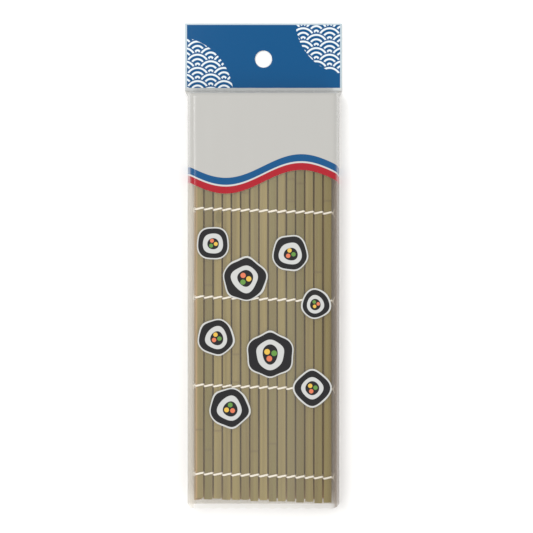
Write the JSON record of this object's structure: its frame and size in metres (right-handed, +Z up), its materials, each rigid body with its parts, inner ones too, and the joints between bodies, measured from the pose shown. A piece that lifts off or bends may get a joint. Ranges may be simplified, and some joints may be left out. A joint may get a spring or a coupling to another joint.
{
  "type": "sushi rolling mat",
  "caption": "Bamboo slat rolling mat laced with cotton cord, folded in three flat leaves and packed in a clear film bag with a printed header and hang hole.",
  "frame": {"origin": "centre of the bounding box at the underside of the bag's back film", "axes": "+Y along the slats towards the header, +X across the slats to the right, +Z up out of the face that carries the print"},
  "size_m": [0.095, 0.291, 0.0164],
  "materials": {
    "bamboo": "satin",
    "cotton_cord": "matte",
    "clear_film": "gloss",
    "header_film": "gloss",
    "seal_film": "gloss",
    "header_print": "gloss"
  },
  "bodies": {
    "bag": {"bag_back": "clear_film", "bag_front": "clear_film", "header_back": "header_film", "header_front": "header_print", "header_seal": "seal_film"},
    "bottom_leaf": {"slat_01": "bamboo", "slat_02": "bamboo", "slat_03": "bamboo", "slat_04": "bamboo", "slat_05": "bamboo", "slat_06": "bamboo", "slat_07": "bamboo", "slat_08": "bamboo", "slat_09": "bamboo", "slat_10": "bamboo", "slat_11": "bamboo", "slat_12": "bamboo", "slat_13": "bamboo", "slat_14": "bamboo", "bottom_edge_knots": "cotton_cord", "cord_row_1": "cotton_cord", "cord_row_2": "cotton_cord", "cord_row_3": "cotton_cord", "cord_row_4": "cotton_cord", "cord_row_5": "cotton_cord"},
    "right_fold": {"slat_15": "bamboo"},
    "middle_leaf": {"slat_16": "bamboo", "slat_17": "bamboo", "slat_18": "bamboo", "slat_19": "bamboo", "slat_20": "bamboo", "slat_21": "bamboo", "slat_22": "bamboo", "slat_23": "bamboo", "slat_24": "bamboo", "slat_25": "bamboo", "slat_26": "bamboo", "slat_27": "bamboo", "slat_28": "bamboo", "slat_29": "bamboo"},
    "left_fold": {"slat_30": "bamboo"},
    "slat_31_body": {"slat_31": "bamboo"},
    "slat_32_body": {"slat_32": "bamboo"},
    "slat_33_body": {"slat_33": "bamboo"},
    "slat_34_body": {"slat_34": "bamboo"},
    "slat_35_body": {"slat_35": "bamboo"},
    "slat_36_body": {"slat_36": "bamboo"},
    "slat_37_body": {"slat_37": "bamboo"},
    "slat_38_body": {"slat_38": "bamboo"},
    "slat_39_body": {"slat_39": "bamboo"},
    "slat_40_body": {"slat_40": "bamboo"},
    "slat_41_body": {"slat_41": "bamboo"},
    "slat_42_body": {"slat_42": "bamboo"},
    "slat_43_body": {"slat_43": "bamboo"},
    "slat_44_body": {"slat_44": "bamboo"},
    "slat_45_body": {"slat_45": "bamboo", "top_edge_knots": "cotton_cord"}
  },
  "joints": [
    {"name": "draw_out", "type": "slide", "parent": "bag", "child": "bottom_leaf", "axis": [0, -1, 0], "range_m": [0, 0.25], "deforming": ["bag_front"]},
    {"name": "unfold", "type": "hinge", "parent": "right_fold", "child": "middle_leaf", "pos_m": [0.04, -0.02105, 0.0068], "axis": [0, 1, 0], "range_deg": [0, 147], "deforming": ["cord_row_1", "cord_row_2", "cord_row_3", "cord_row_4", "cord_row_5", "bag_front"]},
    {"name": "unfold_right_lean", "type": "hinge", "parent": "bottom_leaf", "child": "right_fold", "pos_m": [0.03542, -0.02105, 0.00383], "axis": [0, 1, 0], "range_deg": [0, 33], "deforming": ["cord_row_1", "cord_row_2", "cord_row_3", "cord_row_4", "cord_row_5"]},
    {"name": "unfold_left_lean", "type": "hinge", "parent": "middle_leaf", "child": "left_fold", "pos_m": [-0.0363, -0.02105, 0.0096], "axis": [0, -1, 0], "range_deg": [0, 33], "deforming": ["cord_row_1", "cord_row_2", "cord_row_3", "cord_row_4", "cord_row_5"]},
    {"name": "unfold_left", "type": "hinge", "parent": "left_fold", "child": "slat_31_body", "pos_m": [-0.04088, -0.02105, 0.01257], "axis": [0, -1, 0], "range_deg": [0, 147], "deforming": ["cord_row_1", "cord_row_2", "cord_row_3", "cord_row_4", "cord_row_5"]},
    {"name": "roll_01", "type": "hinge", "parent": "slat_31_body", "child": "slat_32_body", "pos_m": [-0.03542, -0.02105, 0.01397], "axis": [0, -1, 0], "range_deg": [0, 20], "deforming": ["cord_row_1", "cord_row_2", "cord_row_3", "cord_row_4", "cord_row_5", "bag_front"]},
    {"name": "roll_02", "type": "hinge", "parent": "slat_32_body", "child": "slat_33_body", "pos_m": [-0.02998, -0.02105, 0.01397], "axis": [0, -1, 0], "range_deg": [0, 20], "deforming": ["cord_row_1", "cord_row_2", "cord_row_3", "cord_row_4", "cord_row_5", "bag_front"]},
    {"name": "roll_03", "type": "hinge", "parent": "slat_33_body", "child": "slat_34_body", "pos_m": [-0.02453, -0.02105, 0.01397], "axis": [0, -1, 0], "range_deg": [0, 20], "deforming": ["cord_row_1", "cord_row_2", "cord_row_3", "cord_row_4", "cord_row_5", "bag_front"]},
    {"name": "roll_04", "type": "hinge", "parent": "slat_34_body", "child": "slat_35_body", "pos_m": [-0.01908, -0.02105, 0.01397], "axis": [0, -1, 0], "range_deg": [0, 20], "deforming": ["cord_row_1", "cord_row_2", "cord_row_3", "cord_row_4", "cord_row_5", "bag_front"]},
    {"name": "roll_05", "type": "hinge", "parent": "slat_35_body", "child": "slat_36_body", "pos_m": [-0.01362, -0.02105, 0.01397], "axis": [0, -1, 0], "range_deg": [0, 20], "deforming": ["cord_row_1", "cord_row_2", "cord_row_3", "cord_row_4", "cord_row_5", "bag_front"]},
    {"name": "roll_06", "type": "hinge", "parent": "slat_36_body", "child": "slat_37_body", "pos_m": [-0.00817, -0.02105, 0.01397], "axis": [0, -1, 0], "range_deg": [0, 20], "deforming": ["cord_row_1", "cord_row_2", "cord_row_3", "cord_row_4", "cord_row_5", "bag_front"]},
    {"name": "roll_07", "type": "hinge", "parent": "slat_37_body", "child": "slat_38_body", "pos_m": [-0.00272, -0.02105, 0.01397], "axis": [0, -1, 0], "range_deg": [0, 20], "deforming": ["cord_row_1", "cord_row_2", "cord_row_3", "cord_row_4", "cord_row_5", "bag_front"]},
    {"name": "roll_08", "type": "hinge", "parent": "slat_38_body", "child": "slat_39_body", "pos_m": [0.00272, -0.02105, 0.01397], "axis": [0, -1, 0], "range_deg": [0, 20], "deforming": ["cord_row_1", "cord_row_2", "cord_row_3", "cord_row_4", "cord_row_5", "bag_front"]},
    {"name": "roll_09", "type": "hinge", "parent": "slat_39_body", "child": "slat_40_body", "pos_m": [0.00817, -0.02105, 0.01397], "axis": [0, -1, 0], "range_deg": [0, 20], "deforming": ["cord_row_1", "cord_row_2", "cord_row_3", "cord_row_4", "cord_row_5", "bag_front"]},
    {"name": "roll_10", "type": "hinge", "parent": "slat_40_body", "child": "slat_41_body", "pos_m": [0.01362, -0.02105, 0.01397], "axis": [0, -1, 0], "range_deg": [0, 20], "deforming": ["cord_row_1", "cord_row_2", "cord_row_3", "cord_row_4", "cord_row_5", "bag_front"]},
    {"name": "roll_11", "type": "hinge", "parent": "slat_41_body", "child": "slat_42_body", "pos_m": [0.01908, -0.02105, 0.01397], "axis": [0, -1, 0], "range_deg": [0, 20], "deforming": ["cord_row_1", "cord_row_2", "cord_row_3", "cord_row_4", "cord_row_5", "bag_front"]},
    {"name": "roll_12", "type": "hinge", "parent": "slat_42_body", "child": "slat_43_body", "pos_m": [0.02453, -0.02105, 0.01397], "axis": [0, -1, 0], "range_deg": [0, 20], "deforming": ["cord_row_1", "cord_row_2", "cord_row_3", "cord_row_4", "cord_row_5", "bag_front"]},
    {"name": "roll_13", "type": "hinge", "parent": "slat_43_body", "child": "slat_44_body", "pos_m": [0.02998, -0.02105, 0.01397], "axis": [0, -1, 0], "range_deg": [0, 20], "deforming": ["cord_row_1", "cord_row_2", "cord_row_3", "cord_row_4", "cord_row_5", "bag_front"]},
    {"name": "roll_14", "type": "hinge", "parent": "slat_44_body", "child": "slat_45_body", "pos_m": [0.03542, -0.02105, 0.01397], "axis": [0, -1, 0], "range_deg": [0, 20], "deforming": ["cord_row_1", "cord_row_2", "cord_row_3", "cord_row_4", "cord_row_5", "bag_front"]}
  ],
  "couplings": [
    {"joint": "unfold_right_lean", "follows": "unfold", "ratio": 0.22449},
    {"joint": "unfold_left_lean", "follows": "unfold", "ratio": 0.22449},
    {"joint": "unfold_left", "follows": "unfold", "ratio": 1},
    {"joint": "roll_02", "follows": "roll_01", "ratio": 1},
    {"joint": "roll_03", "follows": "roll_01", "ratio": 1},
    {"joint": "roll_04", "follows": "roll_01", "ratio": 1},
    {"joint": "roll_05", "follows": "roll_01", "ratio": 1},
    {"joint": "roll_06", "follows": "roll_01", "ratio": 1},
    {"joint": "roll_07", "follows": "roll_01", "ratio": 1},
    {"joint": "roll_08", "follows": "roll_01", "ratio": 1},
    {"joint": "roll_09", "follows": "roll_01", "ratio": 1},
    {"joint": "roll_10", "follows": "roll_01", "ratio": 1},
    {"joint": "roll_11", "follows": "roll_01", "ratio": 1},
    {"joint": "roll_12", "follows": "roll_01", "ratio": 1},
    {"joint": "roll_13", "follows": "roll_01", "ratio": 1},
    {"joint": "roll_14", "follows": "roll_01", "ratio": 1}
  ]
}
